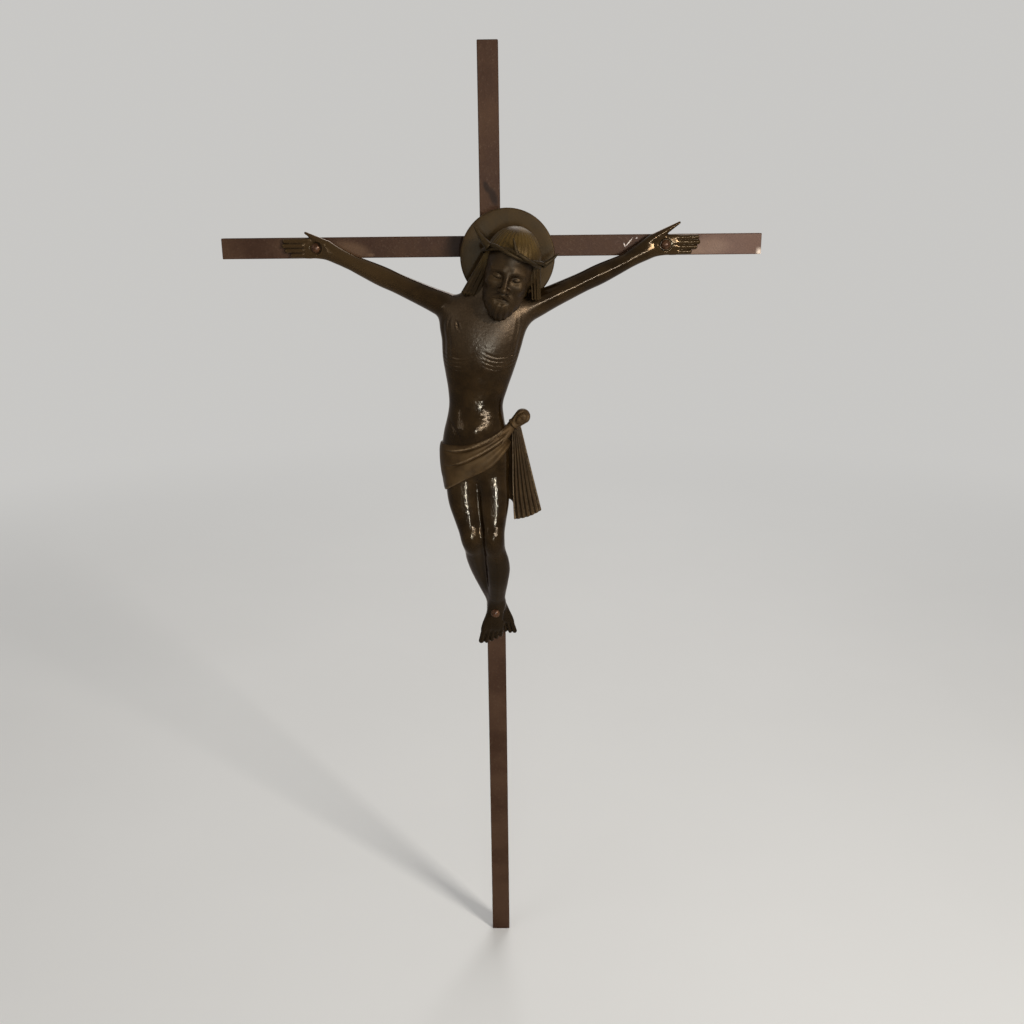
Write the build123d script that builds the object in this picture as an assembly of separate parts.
from build123d import *
import os
from math import cos, radians, sin

# Wall crucifix: two flat metal bars half-lapped and riveted into a cross, and a slender cast
# figure held to it by three nails, with a round halo behind the head, a wire crown of thorns
# and a hanging ring on the back.
#
# Millimetres. +Z is up and the figure faces -Y. The origin lies on the back face of the
# upright, at the level of the hanger's eye. Figure sizes are read from the crossing, the
# point on the bars' front face where their centre lines meet: x to the viewer's right, depth
# towards the viewer, level up. The figure's right hand is on the viewer's left.

# Cross
BAR_WIDTH = 10.0
BAR_THICKNESS = 5.0
UPRIGHT_LENGTH = 494.0
CROSSBAR_LENGTH = 267.0
HEAD_LENGTH = 94.0  # from the upright's top end down to the crossbar's centre line
EDGE_BREAK = 0.3
RIVET_RADIUS = 1.6
RIVET_HEAD_RADIUS = 2.8
RIVET_HEAD_HEIGHT = 1.2
PIN_PLAY = 0.03  # between a rivet, nail, dowel or stud and its hole

# Hanger on the back
HANGER_DROP = 32.0  # from the upright's top end down to the eye
EYE_THICKNESS = 1.8
EYE_WALL = 1.0
EYE_STUD_RADIUS = 1.4
EYE_STUD_LENGTH = 3.0
EYE_COLLAR = 0.45  # thickness of the flange that the lug stands on
RING_WIRE_RADIUS = 0.8
RING_INNER_WIDTH = 6.6
RING_INNER_LENGTH = 13.0
RING_PLAY = 0.3  # between the ring's wire and the eye's hole
RING_GAP = 1.0  # between the hanging ring and the upright's back

# Nails
NAIL_SHANK_RADIUS = 1.2
NAIL_HEAD_RADIUS = 2.4
NAIL_HEAD_HEIGHT = 1.3
NAIL_SEAT_RIM = 0.4  # the sunk seat is this much wider than the nail's head all round
NAIL_SEAT_SINK = 0.7  # how deep the seat is cut below the skin
NAIL_SEAT_REACH = 8.0  # how far out over the skin the seat is kept clear

# Torso: each level is a drop below the one before, and half sizes are of a level ellipse
SHOULDER_DROP = 21.0  # from the crossing
SHOULDER_HALF_WIDTH = 16.0
SHOULDER_HALF_DEPTH = 5.5
ARMPIT_DROP = 11.5
ARMPIT_HALF_WIDTH = 22.4
ARMPIT_HALF_DEPTH = 9.6
CHEST_DROP = 12.0
CHEST_HALF_WIDTH = 20.3
CHEST_HALF_DEPTH = 11.2
RIB_DROP = 15.5
RIB_HALF_WIDTH = 16.8
RIB_HALF_DEPTH = 10.4
WAIST_DROP = 16.5
WAIST_HALF_WIDTH = 13.4
WAIST_HALF_DEPTH = 9.0
BELLY_DROP = 13.0
BELLY_HALF_WIDTH = 15.6
BELLY_HALF_DEPTH = 10.4
HIP_DROP = 15.5
HIP_HALF_WIDTH = 16.6
HIP_HALF_DEPTH = 10.6
SEAT_DROP = 14.0
SEAT_HALF_WIDTH = 13.5
SEAT_HALF_DEPTH = 8.0
TORSO_STANDOFF = 16.0  # from the bars' front face to the middle of the torso
SHOULDER_SHIFT = -2.0  # the torso's middle moves to the viewer's left on its way down
HIP_SHIFT = -8.8

# Legs: the rear one starts on the viewer's left and crosses behind the front one
THIGH_DROP = 21.0  # below the hips
THIGH_HALF_WIDTH = 7.9
REAR_THIGH_SHIFT = -6.0  # from the middle of the hips
FRONT_THIGH_SHIFT = 9.0
KNEE_DROP = 22.0
KNEE_HALF_WIDTH = 5.3
REAR_KNEE_X = -10.4
REAR_KNEE_FORWARD = 1.0  # in front of the middle of the hips
FRONT_KNEE_X = 0.0
FRONT_KNEE_FORWARD = 3.0
CALF_DROP = 13.0
CALF_HALF_WIDTH = 5.9
REAR_CALF_X = -8.6
REAR_CALF_DEPTH = 12.0
FRONT_CALF_X = 1.9
FRONT_CALF_DEPTH = 16.5
SHIN_DROP = 14.0
SHIN_HALF_WIDTH = 4.8
REAR_SHIN_X = -4.6
REAR_SHIN_DEPTH = 7.6
FRONT_SHIN_X = 1.5
FRONT_SHIN_DEPTH = 14.0
ANKLE_DROP = 11.0
ANKLE_HALF_WIDTH = 4.0
ANKLE_X = 0.8
ANKLE_BONE = 0.4  # how far the ankle bones stand out

# Feet, one over the other on the upright
FOOT_NAIL_DROP = 4.5  # from the ankles down to the nail
FRONT_FOOT_LENGTH = 21.0
REAR_FOOT_LENGTH = 18.5
FOOT_HALF_WIDTH = 4.3
FOOT_HALF_HEIGHT = 3.1
TOE_HALF_HEIGHT = 1.5
FOOT_PRESS = 0.5  # how much of the rear sole is cut flat against the upright
FRONT_FOOT_SPLAY = 16.0  # degrees from straight down, to the viewer's left
REAR_FOOT_SPLAY = 28.0  # degrees from straight down, to the viewer's right

# Arms and hands
HAND_NAIL_REACH = 86.0  # from the upright's centre line to each hand's nail
WRIST_SETBACK = 12.5  # from the nail back to the wrist
WRIST_DROP = 4.6  # the wrist's level below the crossing
WRIST_DEPTH = 4.4
WRIST_HALF_WIDTH = 3.3
FOREARM_HALF_WIDTH = 4.5
UPPER_ARM_HALF_WIDTH = 5.1
SHOULDER_BALL_HALF_WIDTH = 5.9
ARM_ROOT_REACH = 15.0  # where the arm's axis starts, well inside the torso
ARM_ROOT_RISE = 2.1  # above the armpits
ARM_ROOT_SETBACK = 1.5  # behind the middle of the torso
DELTOID_SHARE = 0.2  # places along the arm, as shares of the run from its root to the wrist
ELBOW_SHARE = 0.5
FOREARM_SHARE = 0.75
ARM_JOINT_OVERHANG = 5.0  # how far outside the torso's flank the arm is pieced on
PALM_HALF_WIDTH = 5.0
PALM_HALF_DEPTH = 2.3
PALM_PRESS = 0.5  # how much of the palm is cut flat against the crossbar
KNUCKLE_REACH = 4.5  # from the nail on to the fingers' roots
FINGERS = 4
FINGER_RADIUS = 1.2
FINGERTIP_RADIUS = 1.0
FINGER_PITCH = 2.3
FINGER_LENGTH = 12.5  # of the index finger, from its root
FINGER_STEP = 1.3  # each finger from the index down ends this much sooner
THUMB_LENGTH = 13.0
THUMB_RADIUS = 1.7
THUMB_SETBACK = 4.5  # from the nail back to the thumb's root
THUMB_RISE = 35.0  # degrees above the line of the fingers
DOWEL_RADIUS = 1.6
DOWEL_LENGTH = 14.0

# Head
HEAD_X = 8.2
HEAD_DROP = 10.0
SKULL_HALF_WIDTH = 11.6
SKULL_HALF_DEPTH = 13.0
SKULL_HALF_HEIGHT = 17.5
HEAD_TILT = 14.0  # degrees, the crown towards the viewer's right
HEAD_NOD = 10.0  # degrees, the face turned down
HAIR_THICKNESS = 1.3
HAIRLINE_RISE = 6.5  # above the middle of the skull
HAIRLINE_DEPTH = 4.0  # in front of the middle of the skull
BEARD_HALF_WIDTH = 7.6
BEARD_HALF_DEPTH = 6.5
BEARD_HALF_HEIGHT = 9.5
BEARD_DROP = 14.0
BEARD_FORWARD = 6.0
NOSE_LENGTH = 7.0
NOSE_HALF_WIDTH = 1.6
NECK_RADIUS = 7.0
LOCK_HALF_WIDTH = 2.7
LOCK_HALF_DEPTH = 3.8
LOCK_LENGTH = 20.5
LOCK_ROOT_SPREAD = 9.8  # from the middle of the head to each lock's root
LOCK_ROOT_RISE = 6.5
RIGHT_LOCK_SWING = 24.0  # degrees from straight down, away from the neck
LEFT_LOCK_SWING = 9.0

# Halo and crown
HALO_RADIUS = 23.0
HALO_THICKNESS = 1.6
HALO_STANDOFF = 12.0  # from the bars' front face to the halo's front
HALO_SHIFT = 0.4  # the halo's middle from the middle of the skull, to the viewer's right
HALO_RISE = 5.3
HALO_PLAY = 0.3  # round the halo's edge where it is let into the shoulders
HALO_PIN_RADIUS = 1.5
HALO_PIN_DEPTH = 7.0
CROWN_WIRE_RADIUS = 1.15
CROWN_RISE = 6.0  # above the middle of the skull
THORN_LENGTH = 9.0
THORN_RADIUS = 1.0
THORN_TIP_RADIUS = 0.25
THORN_RISE = 35.0  # degrees above the crown's own plane
THORN_ANGLES = (207.0, 283.0, 332.0)  # round the crown from the viewer's right, by the back

# Loincloth: three slanted edges, each given by its drop below the belly on the torso's middle
CLOTH_THICKNESS = 1.2
FOLD_THICKNESS = 1.0  # how far the upper turn stands out over the lower one
CLOTH_TOP_DROP = 2.8
CLOTH_TOP_SLOPE = 15.0  # degrees, rising to the viewer's right
FOLD_DROP = 11.0
FOLD_SLOPE = 21.0
HEM_DROP = 20.8
HEM_SLOPE = 33.0
HEM_DRAW = 1.6  # how far the cloth draws in towards the thighs
KNOT_RADIUS = 4.2
KNOT_OUT = 7.1  # out from the flank
KNOT_FORWARD = 2.0  # in front of the middle of the torso
KNOT_RISE = 7.6  # above the belly
KNOT_NECK_RADIUS = 2.6
TAIL_FORWARD = 1.0
TAIL_TOP_OUT = 2.8
TAIL_TOP_DROP = 5.0  # below the knot's middle
TAIL_TOP_WIDTH = 6.0
TAIL_HEM_OUT = 9.5
TAIL_LENGTH = 46.5
TAIL_HEM_WIDTH = 14.8
TAIL_HEM_SLOPE = 20.0  # degrees, rising to the viewer's right
TAIL_THICKNESS = 2.4
PLEAT_DEPTH = 1.3
PLEATS = 6

# Levels and places that follow from the sizes above
TOP_Z = HANGER_DROP
FOOT_Z = TOP_Z - UPRIGHT_LENGTH
CROSSING_Z = TOP_Z - HEAD_LENGTH
FRONT_Y = -BAR_THICKNESS
SHOULDER_LEVEL = -SHOULDER_DROP
ARMPIT_LEVEL = SHOULDER_LEVEL - ARMPIT_DROP
CHEST_LEVEL = ARMPIT_LEVEL - CHEST_DROP
RIB_LEVEL = CHEST_LEVEL - RIB_DROP
WAIST_LEVEL = RIB_LEVEL - WAIST_DROP
BELLY_LEVEL = WAIST_LEVEL - BELLY_DROP
HIP_LEVEL = BELLY_LEVEL - HIP_DROP
SEAT_LEVEL = HIP_LEVEL - SEAT_DROP
THIGH_LEVEL = HIP_LEVEL - THIGH_DROP
KNEE_LEVEL = THIGH_LEVEL - KNEE_DROP
CALF_LEVEL = KNEE_LEVEL - CALF_DROP
SHIN_LEVEL = CALF_LEVEL - SHIN_DROP
ANKLE_LEVEL = SHIN_LEVEL - ANKLE_DROP
FOOT_NAIL_LEVEL = ANKLE_LEVEL - FOOT_NAIL_DROP
REAR_FOOT_DEPTH = FOOT_HALF_HEIGHT - FOOT_PRESS
FRONT_FOOT_DEPTH = REAR_FOOT_DEPTH + 2 * FOOT_HALF_HEIGHT
REAR_ANKLE_DEPTH = ANKLE_HALF_WIDTH - FOOT_PRESS
FRONT_ANKLE_DEPTH = REAR_ANKLE_DEPTH + 2 * ANKLE_HALF_WIDTH
PALM_DEPTH = PALM_HALF_DEPTH - PALM_PRESS
HEAD_DEPTH = HALO_STANDOFF + SKULL_HALF_DEPTH
HALO_X = HEAD_X + HALO_SHIFT
HALO_LEVEL = HALO_RISE - HEAD_DROP
CROWN_RADIUS = SKULL_HALF_WIDTH + HAIR_THICKNESS
TAIL_DEPTH = TORSO_STANDOFF + TAIL_FORWARD
KNOT_LEVEL = BELLY_LEVEL + KNOT_RISE
EYE_HOLE_RADIUS = RING_WIRE_RADIUS + RING_PLAY
EYE_RADIUS = EYE_HOLE_RADIUS + EYE_WALL
EYE_Y = RING_GAP + RING_WIRE_RADIUS
BIG = 4 * UPRIGHT_LENGTH  # larger than the whole part, for cutting away one side

ON_FLOOR = (Align.CENTER, Align.CENTER, Align.MIN)
HEAD_PLACE = Pos(HEAD_X, FRONT_Y - HEAD_DEPTH, CROSSING_Z - HEAD_DROP)
HEAD_TURN = Rot(0, HEAD_TILT, 0) * Rot(HEAD_NOD, 0, 0)


def spot(x, depth, level):
    """A place given from the crossing, in the part's own frame."""
    return Vector(x, FRONT_Y - depth, CROSSING_Z + level)


def shift_at(level):
    """The torso's sideways middle at a level, on a straight slant from shoulders to hips."""
    share = (SHOULDER_LEVEL - level) / (SHOULDER_LEVEL - HIP_LEVEL)
    return SHOULDER_SHIFT + (HIP_SHIFT - SHOULDER_SHIFT) * share


def level_oval(x, depth, level, half_width, half_depth):
    """A level ellipse, one slice of the torso or of a leg."""
    return Pos(*spot(x, depth, level)) * Ellipse(half_width, half_depth)


def oval_along(point, direction, half_width, half_depth):
    """An ellipse square to a limb's direction, with its depth axis towards the viewer."""
    across = Vector(0, 1, 0).cross(direction)
    return Plane(origin=point, x_dir=across, z_dir=direction) * Ellipse(half_width, half_depth)


def rod(start, end, radius):
    """A plain round rod between two points."""
    run = end - start
    return Plane(origin=start, z_dir=run) * Cylinder(radius, run.length, align=ON_FLOOR)


def taper(start, end, start_radius, end_radius):
    """A tapering rod with a round end, as a finger or a thorn."""
    run = end - start
    cone = Cone(start_radius, end_radius, run.length, align=ON_FLOOR)
    return Plane(origin=start, z_dir=run) * cone + Pos(*end) * Sphere(end_radius)


def egg(half_width, half_depth, half_height):
    """An ellipsoid about the origin."""
    return scale(Sphere(1), by=(half_width, half_depth, half_height))


def facing_viewer(point):
    """A plane through a point whose normal points at the viewer."""
    return Plane(origin=point, x_dir=Vector(1, 0, 0), z_dir=Vector(0, -1, 0))


def dome(radius, height):
    """A shallow round head whose flat side lies on Z = 0."""
    ball_radius = (radius**2 + height**2) / (2 * height)
    ball = Pos(0, 0, height - ball_radius) * Sphere(ball_radius)
    return ball & Box(2 * ball_radius, 2 * ball_radius, ball_radius, align=ON_FLOOR)


def in_front_of_bars(solid):
    """What is left of a solid in front of the bars' front face."""
    return split(solid, bisect_by=facing_viewer(spot(0, 0, 0)), keep=Keep.TOP)


def headed_pin(point, shank_radius, head_radius, head_height):
    """A nail or rivet: its head's flat side at the point, its tail flush with the bars' back."""
    tail = Vector(point.X, 0, point.Z)
    return rod(tail, point, shank_radius) + facing_viewer(point) * dome(head_radius, head_height)


def pin_hole(point, radius):
    """A drilled hole for such a pin, right through the bars and up to the point."""
    return rod(Vector(point.X, BAR_THICKNESS, point.Z), point, radius + PIN_PLAY)


def nail(point):
    return headed_pin(point, NAIL_SHANK_RADIUS, NAIL_HEAD_RADIUS, NAIL_HEAD_HEIGHT)


def nail_cut(point):
    """The nail's hole and the sunk round seat under its head."""
    seat = Cylinder(NAIL_HEAD_RADIUS + NAIL_SEAT_RIM, NAIL_SEAT_REACH, align=ON_FLOOR)
    return pin_hole(point, NAIL_SHANK_RADIUS) + facing_viewer(point) * seat


def make_upright():
    blank = Box(BAR_WIDTH, BAR_THICKNESS, UPRIGHT_LENGTH)
    blank = chamfer(blank.edges(), EDGE_BREAK)
    solid = Pos(0, FRONT_Y / 2, (TOP_Z + FOOT_Z) / 2) * blank
    lap = Pos(0, FRONT_Y, CROSSING_Z) * Box(2 * BAR_WIDTH, BAR_THICKNESS, BAR_WIDTH)
    stud_hole = rod(Vector(0, 0, 0), Vector(0, -EYE_STUD_LENGTH, 0), EYE_STUD_RADIUS + PIN_PLAY)
    return solid - lap - pin_hole(CROSSING, RIVET_RADIUS) - stud_hole - nail_cut(FEET_NAIL)


def make_crossbar():
    blank = Box(CROSSBAR_LENGTH, BAR_THICKNESS, BAR_WIDTH)
    blank = chamfer(blank.edges(), EDGE_BREAK)
    solid = Pos(0, FRONT_Y / 2, CROSSING_Z) * blank
    lap = Pos(0, 0, CROSSING_Z) * Box(BAR_WIDTH, BAR_THICKNESS, 2 * BAR_WIDTH)
    solid = solid - lap - pin_hole(CROSSING, RIVET_RADIUS)
    return solid - nail_cut(HAND_NAILS[-1]) - nail_cut(HAND_NAILS[1])


def make_hanger_eye():
    """A lug with a cross hole, on a stud that is driven into the upright's back."""
    hole_centre = Vector(0, EYE_Y, 0)
    side_on = Plane(origin=hole_centre, x_dir=Vector(0, 1, 0), z_dir=Vector(1, 0, 0))
    nose = side_on * Cylinder(EYE_RADIUS, EYE_THICKNESS)
    root = Pos(0, EYE_Y / 2, 0) * Box(EYE_THICKNESS, EYE_Y, 2 * EYE_RADIUS)
    collar = rod(Vector(0, 0, 0), Vector(0, EYE_COLLAR, 0), EYE_RADIUS)
    stud = rod(Vector(0, EYE_COLLAR, 0), Vector(0, -EYE_STUD_LENGTH, 0), EYE_STUD_RADIUS)
    lug = split(nose + root, bisect_by=Plane.XZ, keep=Keep.BOTTOM)
    return lug + [collar, stud] - side_on * Cylinder(EYE_HOLE_RADIUS, BAR_WIDTH)


def make_hanging_ring():
    """An oval wire link through the eye, hanging straight down."""
    bend = RING_INNER_WIDTH / 2 + RING_WIRE_RADIUS
    side = RING_INNER_LENGTH - RING_INNER_WIDTH
    upper = Vector(0, EYE_Y, -bend)
    lower = Vector(0, EYE_Y, -bend - side)
    half_turn = Torus(bend, RING_WIRE_RADIUS)
    lying = Plane(origin=upper, x_dir=Vector(1, 0, 0), z_dir=Vector(0, 1, 0)) * half_turn
    top = split(lying, bisect_by=Plane.XY.offset(upper.Z), keep=Keep.TOP)
    lying = Plane(origin=lower, x_dir=Vector(1, 0, 0), z_dir=Vector(0, 1, 0)) * half_turn
    foot = split(lying, bisect_by=Plane.XY.offset(lower.Z), keep=Keep.BOTTOM)
    across = Vector(bend, 0, 0)
    legs = rod(lower - across, upper - across, RING_WIRE_RADIUS)
    legs += rod(lower + across, upper + across, RING_WIRE_RADIUS)
    return top + legs + foot


def make_torso():
    levels = [
        (SHOULDER_LEVEL, SHOULDER_HALF_WIDTH, SHOULDER_HALF_DEPTH),
        (ARMPIT_LEVEL, ARMPIT_HALF_WIDTH, ARMPIT_HALF_DEPTH),
        (CHEST_LEVEL, CHEST_HALF_WIDTH, CHEST_HALF_DEPTH),
        (RIB_LEVEL, RIB_HALF_WIDTH, RIB_HALF_DEPTH),
        (WAIST_LEVEL, WAIST_HALF_WIDTH, WAIST_HALF_DEPTH),
        (BELLY_LEVEL, BELLY_HALF_WIDTH, BELLY_HALF_DEPTH),
        (HIP_LEVEL, HIP_HALF_WIDTH, HIP_HALF_DEPTH),
        (SEAT_LEVEL, SEAT_HALF_WIDTH, SEAT_HALF_DEPTH),
    ]
    return loft([level_oval(shift_at(z), TORSO_STANDOFF, z, a, b) for z, a, b in levels])


def make_leg(thigh_shift, knee_x, knee_forward, calf_x, calf_depth, shin_x, shin_depth, ankle_depth):
    """One leg from inside the hips down to the ankle."""
    thigh_x = HIP_SHIFT + thigh_shift
    knee_depth = TORSO_STANDOFF + knee_forward
    slices = [
        (thigh_x, TORSO_STANDOFF, HIP_LEVEL, THIGH_HALF_WIDTH),
        (thigh_x, TORSO_STANDOFF, THIGH_LEVEL, THIGH_HALF_WIDTH),
        (knee_x, knee_depth, KNEE_LEVEL, KNEE_HALF_WIDTH),
        (calf_x, calf_depth, CALF_LEVEL, CALF_HALF_WIDTH),
        (shin_x, shin_depth, SHIN_LEVEL, SHIN_HALF_WIDTH),
        (ANKLE_X, ankle_depth, ANKLE_LEVEL, ANKLE_HALF_WIDTH),
    ]
    return loft([level_oval(x, depth, z, half, half) for x, depth, z, half in slices])


def make_foot(splay, length, ankle_depth, foot_depth):
    """One foot hanging from its ankle; a positive splay points it to the viewer's right."""
    down = Vector(sin(radians(splay)), 0, -cos(radians(splay)))
    ankle = spot(ANKLE_X, ankle_depth, ANKLE_LEVEL)
    ball = spot(ANKLE_X, foot_depth, ANKLE_LEVEL)
    heel_share = FOOT_NAIL_DROP / length
    slices = [
        oval_along(ankle, down, ANKLE_HALF_WIDTH, ANKLE_HALF_WIDTH),
        oval_along(ball + down * length * heel_share, down, FOOT_HALF_WIDTH, FOOT_HALF_HEIGHT),
        oval_along(ball + down * length * (1 + heel_share) / 2, down, FOOT_HALF_WIDTH, FOOT_HALF_HEIGHT),
        oval_along(ball + down * length, down, FOOT_HALF_WIDTH - TOE_HALF_HEIGHT, TOE_HALF_HEIGHT),
    ]
    return loft(slices) + Pos(*ankle) * Sphere(ANKLE_HALF_WIDTH + ANKLE_BONE)


def arm_axis(side):
    """Root and wrist of an arm's straight axis; side is -1 on the viewer's left, 1 on the right."""
    depth = TORSO_STANDOFF - ARM_ROOT_SETBACK
    root = spot(side * ARM_ROOT_REACH, depth, ARMPIT_LEVEL + ARM_ROOT_RISE)
    wrist = spot(side * (HAND_NAIL_REACH - WRIST_SETBACK), WRIST_DEPTH, -WRIST_DROP)
    return root, wrist


def arm_joint(side):
    """The plane in which an arm is pieced on to the body, square to the arm, facing the hand."""
    root, wrist = arm_axis(side)
    flank = abs(shift_at(ARMPIT_LEVEL) + side * ARMPIT_HALF_WIDTH) + ARM_JOINT_OVERHANG
    share = (flank - abs(root.X)) / (abs(wrist.X) - abs(root.X))
    return Plane(origin=root + (wrist - root) * share, z_dir=wrist - root)


def palm_spot(side, reach, rise):
    """A place in the thickness of the hand, given from its nail: outwards and up."""
    return spot(side * (HAND_NAIL_REACH + reach), PALM_DEPTH, rise)


def make_whole_arm(side):
    """One arm from inside the torso to the fingertips."""
    root, wrist = arm_axis(side)
    run = wrist - root
    out = Vector(side, 0, 0)
    slices = [
        oval_along(root, run, SHOULDER_BALL_HALF_WIDTH, SHOULDER_BALL_HALF_WIDTH),
        oval_along(root + run * DELTOID_SHARE, run, SHOULDER_BALL_HALF_WIDTH, SHOULDER_BALL_HALF_WIDTH),
        oval_along(root + run * ELBOW_SHARE, run, UPPER_ARM_HALF_WIDTH, UPPER_ARM_HALF_WIDTH),
        oval_along(root + run * FOREARM_SHARE, run, FOREARM_HALF_WIDTH, FOREARM_HALF_WIDTH),
        oval_along(wrist, run + out * run.length, WRIST_HALF_WIDTH, WRIST_HALF_WIDTH),
        oval_along(palm_spot(side, 0, 0), out, PALM_HALF_WIDTH, PALM_HALF_DEPTH),
        oval_along(palm_spot(side, KNUCKLE_REACH, 0), out, PALM_HALF_WIDTH, FINGER_RADIUS),
    ]
    digits = []
    for finger in range(FINGERS):
        rise = ((FINGERS - 1) / 2 - finger) * FINGER_PITCH
        start = palm_spot(side, 0, rise)
        end = palm_spot(side, KNUCKLE_REACH + FINGER_LENGTH - finger * FINGER_STEP, rise)
        digits.append(taper(start, end, FINGER_RADIUS, FINGERTIP_RADIUS))
    start = palm_spot(side, -THUMB_SETBACK, PALM_HALF_WIDTH / 2)
    reach = Vector(side * cos(radians(THUMB_RISE)), 0, sin(radians(THUMB_RISE)))
    digits.append(taper(start, start + reach * THUMB_LENGTH, THUMB_RADIUS, FINGERTIP_RADIUS))
    return in_front_of_bars(loft(slices) + digits)


def make_dowel(side):
    """A pin across an arm's joint, half in the body and half in the arm."""
    joint = arm_joint(side)
    half = joint.z_dir * (DOWEL_LENGTH / 2)
    return rod(joint.origin - half, joint.origin + half, DOWEL_RADIUS)


def dowel_hole(side):
    joint = arm_joint(side)
    half = joint.z_dir * (DOWEL_LENGTH / 2 + PIN_PLAY)
    return rod(joint.origin - half, joint.origin + half, DOWEL_RADIUS + PIN_PLAY)


def make_cloth_turn(standoff, top_plane, hem_plane):
    """A turn of the loincloth round the hips, between two slanted planes."""
    levels = [
        (WAIST_LEVEL, WAIST_HALF_WIDTH, WAIST_HALF_DEPTH),
        (BELLY_LEVEL, BELLY_HALF_WIDTH, BELLY_HALF_DEPTH),
        (HIP_LEVEL, HIP_HALF_WIDTH, HIP_HALF_DEPTH),
        (THIGH_LEVEL, HIP_HALF_WIDTH - HEM_DRAW, HIP_HALF_DEPTH - HEM_DRAW),
    ]
    slices = []
    for z, a, b in levels:
        slices.append(level_oval(shift_at(z), TORSO_STANDOFF, z, a + standoff, b + standoff))
    solid = split(loft(slices), bisect_by=top_plane, keep=Keep.BOTTOM)
    return split(solid, bisect_by=hem_plane, keep=Keep.TOP)


def cloth_edge(drop, slope):
    """The plane of one slanted edge of the loincloth, facing up."""
    level = BELLY_LEVEL - drop
    tilt = Vector(-sin(radians(slope)), 0, cos(radians(slope)))
    return Plane(origin=spot(shift_at(level), TORSO_STANDOFF, level), z_dir=tilt)


def pleated_outline(width):
    """The tail's closed outline at one level: pleats in front, flat behind."""
    step = width / PLEATS
    front = []
    for pleat in range(PLEATS):
        left = -width / 2 + pleat * step
        front.append((left, -TAIL_THICKNESS / 2))
        front.append((left + step / 2, -TAIL_THICKNESS / 2 - PLEAT_DEPTH))
    front.append((width / 2, -TAIL_THICKNESS / 2))
    back = [(width / 2, TAIL_THICKNESS / 2), (-width / 2, TAIL_THICKNESS / 2)]
    return make_face(Polyline(front + back, close=True))


def make_tail():
    """The knotted cloth's free end, a fan of pleats hanging at the viewer's right."""
    flank = shift_at(BELLY_LEVEL) + BELLY_HALF_WIDTH
    top_level = KNOT_LEVEL - TAIL_TOP_DROP
    top_spot = spot(flank + TAIL_TOP_OUT, TAIL_DEPTH, top_level)
    top = Pos(*top_spot) * pleated_outline(TAIL_TOP_WIDTH)
    hem_turn = Rot(0, -TAIL_HEM_SLOPE, 0)
    hem_spot = spot(flank + TAIL_HEM_OUT, TAIL_DEPTH, top_level - TAIL_LENGTH)
    hem = Pos(*hem_spot) * hem_turn * pleated_outline(TAIL_HEM_WIDTH)
    return loft([top, hem], ruled=True)


def make_knot():
    """The knot over the hip and the neck of cloth that ties it to the loincloth."""
    flank = shift_at(BELLY_LEVEL) + BELLY_HALF_WIDTH
    knot = spot(flank + KNOT_OUT, TORSO_STANDOFF + KNOT_FORWARD, KNOT_LEVEL)
    hip_spot = spot(flank, TAIL_DEPTH, BELLY_LEVEL)
    return Pos(*knot) * Sphere(KNOT_RADIUS) + rod(hip_spot, knot, KNOT_NECK_RADIUS)


def make_lock(side, swing):
    """A hank of hair beside the neck, swinging away from it."""
    root = spot(HEAD_X + side * LOCK_ROOT_SPREAD, HEAD_DEPTH, LOCK_ROOT_RISE - HEAD_DROP)
    down = Vector(side * sin(radians(swing)), 0, -cos(radians(swing)))
    slices = [
        oval_along(root, down, LOCK_HALF_WIDTH, LOCK_HALF_DEPTH),
        oval_along(root + down * LOCK_LENGTH / 2, down, LOCK_HALF_WIDTH, LOCK_HALF_DEPTH),
        oval_along(root + down * LOCK_LENGTH, down, LOCK_HALF_WIDTH / 2, LOCK_HALF_DEPTH / 2),
    ]
    return loft(slices)


def make_head():
    """Skull, cap of hair, beard and nose, upright about the origin, then set on its place."""
    skull = egg(SKULL_HALF_WIDTH, SKULL_HALF_DEPTH, SKULL_HALF_HEIGHT)
    hair_sizes = [SKULL_HALF_WIDTH, SKULL_HALF_DEPTH, SKULL_HALF_HEIGHT]
    hair = egg(*[size + HAIR_THICKNESS for size in hair_sizes])
    face = Pos(0, -HAIRLINE_DEPTH, HAIRLINE_RISE) * Box(
        BIG, BIG, BIG, align=(Align.CENTER, Align.MAX, Align.MAX)
    )
    beard = Pos(0, -BEARD_FORWARD, -BEARD_DROP) * egg(
        BEARD_HALF_WIDTH, BEARD_HALF_DEPTH, BEARD_HALF_HEIGHT
    )
    brow = Vector(0, NOSE_HALF_WIDTH - SKULL_HALF_DEPTH, NOSE_HALF_WIDTH)
    tip = Vector(0, -SKULL_HALF_DEPTH, NOSE_HALF_WIDTH - NOSE_LENGTH)
    nose = taper(brow, tip, NOSE_HALF_WIDTH / 2, NOSE_HALF_WIDTH)
    return HEAD_PLACE * HEAD_TURN * (skull + [hair - face, beard, nose])


def crown_wire(radius):
    """The crown's ring round the hair, with a given wire radius."""
    ring = Pos(0, 0, CROWN_RISE) * Torus(CROWN_RADIUS, radius)
    return HEAD_PLACE * HEAD_TURN * ring


def make_crown():
    """The wire ring with its thorns, trimmed where it would reach the halo."""
    flat = cos(radians(THORN_RISE))
    thorns = []
    for angle in THORN_ANGLES:
        outward = Vector(cos(radians(angle)), sin(radians(angle)), 0)
        root = outward * CROWN_RADIUS + Vector(0, 0, CROWN_RISE)
        away = outward * flat + Vector(0, 0, sin(radians(THORN_RISE)))
        thorn = taper(root, root + away * THORN_LENGTH, THORN_RADIUS, THORN_TIP_RADIUS)
        thorns.append(HEAD_PLACE * HEAD_TURN * thorn)
    return crown_wire(CROWN_WIRE_RADIUS) + thorns - halo_recess()


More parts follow.
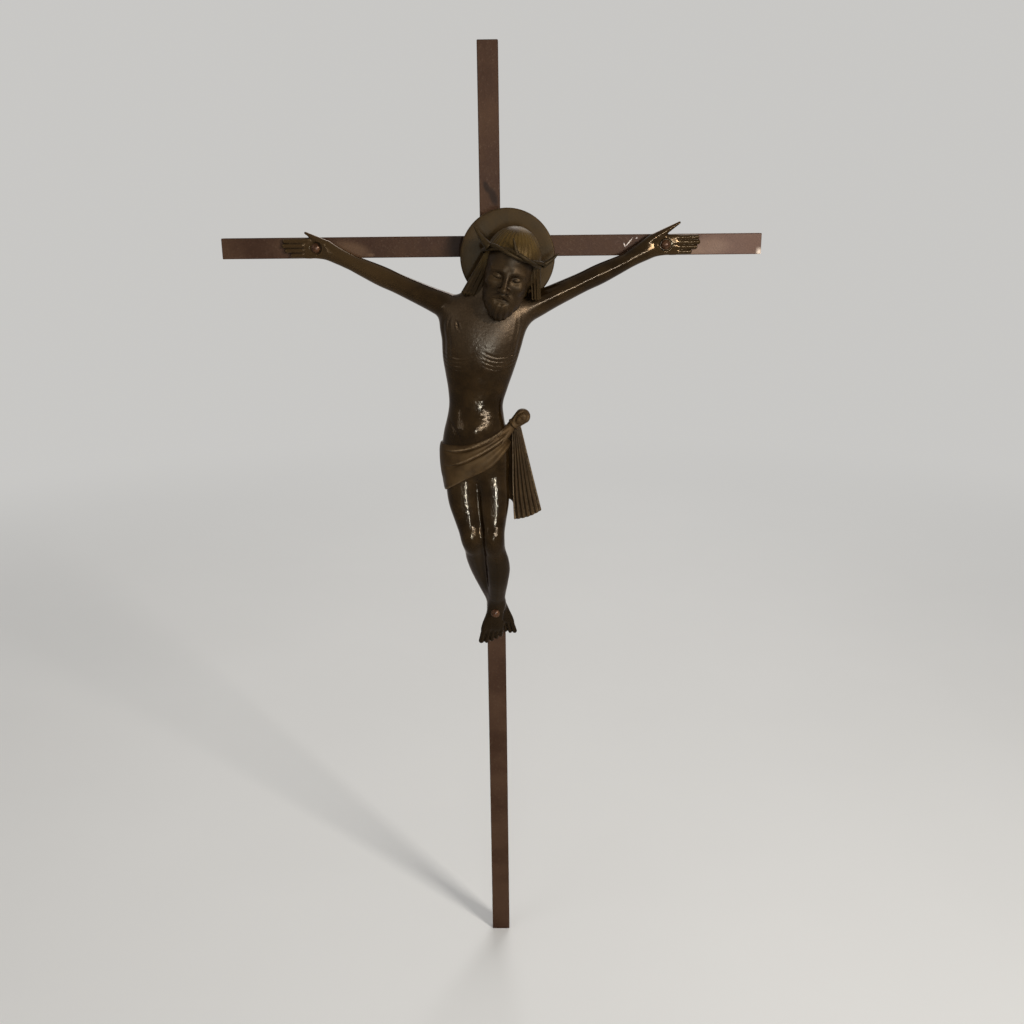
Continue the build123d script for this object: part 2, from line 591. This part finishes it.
def halo_disc(radius, front_depth, thickness):
    """A disc behind the head, from its front depth back towards the bars."""
    centre = spot(HALO_X, front_depth - thickness, HALO_LEVEL)
    return facing_viewer(centre) * Cylinder(radius, thickness, align=ON_FLOOR)


def halo_recess():
    """The room behind the head and shoulders that the halo is let into."""
    return halo_disc(HALO_RADIUS + HALO_PLAY, HALO_STANDOFF, HALO_STANDOFF)


def halo_pin(radius, extra):
    """The pin that carries the halo: flush with its back, its front end inside the head."""
    back = spot(HALO_X, HALO_STANDOFF - HALO_THICKNESS, HALO_LEVEL)
    front = spot(HALO_X, HALO_STANDOFF + HALO_PIN_DEPTH + extra, HALO_LEVEL)
    return rod(back, front, radius)


def make_body():
    """The main casting: head, torso, loincloth, legs and feet, with the roots of both arms."""
    top_edge = cloth_edge(CLOTH_TOP_DROP, CLOTH_TOP_SLOPE)
    fold_edge = cloth_edge(FOLD_DROP, FOLD_SLOPE)
    hem_edge = cloth_edge(HEM_DROP, HEM_SLOPE)
    neck_foot = spot(shift_at(ARMPIT_LEVEL), TORSO_STANDOFF, ARMPIT_LEVEL)
    forms = [
        make_leg(
            REAR_THIGH_SHIFT, REAR_KNEE_X, REAR_KNEE_FORWARD, REAR_CALF_X, REAR_CALF_DEPTH,
            REAR_SHIN_X, REAR_SHIN_DEPTH, REAR_ANKLE_DEPTH,
        ),
        make_leg(
            FRONT_THIGH_SHIFT, FRONT_KNEE_X, FRONT_KNEE_FORWARD, FRONT_CALF_X, FRONT_CALF_DEPTH,
            FRONT_SHIN_X, FRONT_SHIN_DEPTH, FRONT_ANKLE_DEPTH,
        ),
        make_foot(REAR_FOOT_SPLAY, REAR_FOOT_LENGTH, REAR_ANKLE_DEPTH, REAR_FOOT_DEPTH),
        make_foot(-FRONT_FOOT_SPLAY, FRONT_FOOT_LENGTH, FRONT_ANKLE_DEPTH, FRONT_FOOT_DEPTH),
        make_cloth_turn(CLOTH_THICKNESS, top_edge, hem_edge),
        make_cloth_turn(CLOTH_THICKNESS + FOLD_THICKNESS, top_edge, fold_edge),
        make_knot(),
        make_tail(),
        rod(neck_foot, HEAD_PLACE.position, NECK_RADIUS),
        make_head(),
        make_lock(-1, RIGHT_LOCK_SWING),
        make_lock(1, LEFT_LOCK_SWING),
    ]
    for side in (-1, 1):
        forms.append(split(WHOLE_ARMS[side], bisect_by=arm_joint(side), keep=Keep.BOTTOM))
    cuts = [
        halo_recess(),
        halo_pin(HALO_PIN_RADIUS + PIN_PLAY, PIN_PLAY),
        crown_wire(CROWN_WIRE_RADIUS + PIN_PLAY),
        nail_cut(FEET_NAIL),
        dowel_hole(-1),
        dowel_hole(1),
    ]
    return in_front_of_bars(make_torso() + forms) - cuts


def make_arm(side):
    """An arm that is cast apart and pieced on outside the armpit."""
    solid = split(WHOLE_ARMS[side], bisect_by=arm_joint(side), keep=Keep.TOP)
    return solid - nail_cut(HAND_NAILS[side]) - dowel_hole(side) - halo_recess()


CROSSING = spot(0, 0, 0)
HAND_NAIL_DEPTH = PALM_DEPTH + PALM_HALF_DEPTH - NAIL_SEAT_SINK
HAND_NAILS = {side: spot(side * HAND_NAIL_REACH, HAND_NAIL_DEPTH, 0) for side in (-1, 1)}
FEET_NAIL = spot(0, FRONT_FOOT_DEPTH + FOOT_HALF_HEIGHT - NAIL_SEAT_SINK, FOOT_NAIL_LEVEL)
WHOLE_ARMS = {side: make_whole_arm(side) for side in (-1, 1)}

NODES = {
    "upright_bar": make_upright(),
    "crossbar": make_crossbar(),
    "crossing_rivet": headed_pin(CROSSING, RIVET_RADIUS, RIVET_HEAD_RADIUS, RIVET_HEAD_HEIGHT),
    "figure_body": make_body(),
    "figure_right_arm": make_arm(-1),
    "figure_left_arm": make_arm(1),
    "arm_dowels": Compound(children=[make_dowel(-1), make_dowel(1)]),
    "halo": halo_disc(HALO_RADIUS, HALO_STANDOFF, HALO_THICKNESS)
    - halo_pin(HALO_PIN_RADIUS + PIN_PLAY, 0),
    "halo_pin": halo_pin(HALO_PIN_RADIUS, 0),
    "crown_of_thorns": make_crown(),
    "right_hand_nail": nail(HAND_NAILS[-1]),
    "left_hand_nail": nail(HAND_NAILS[1]),
    "feet_nail": nail(FEET_NAIL),
    "hanger_eye": make_hanger_eye(),
    "hanging_ring": make_hanging_ring(),
}

os.makedirs("parts", exist_ok=True)
for name, solid in NODES.items():
    export_step(solid, f"parts/{name}.step")
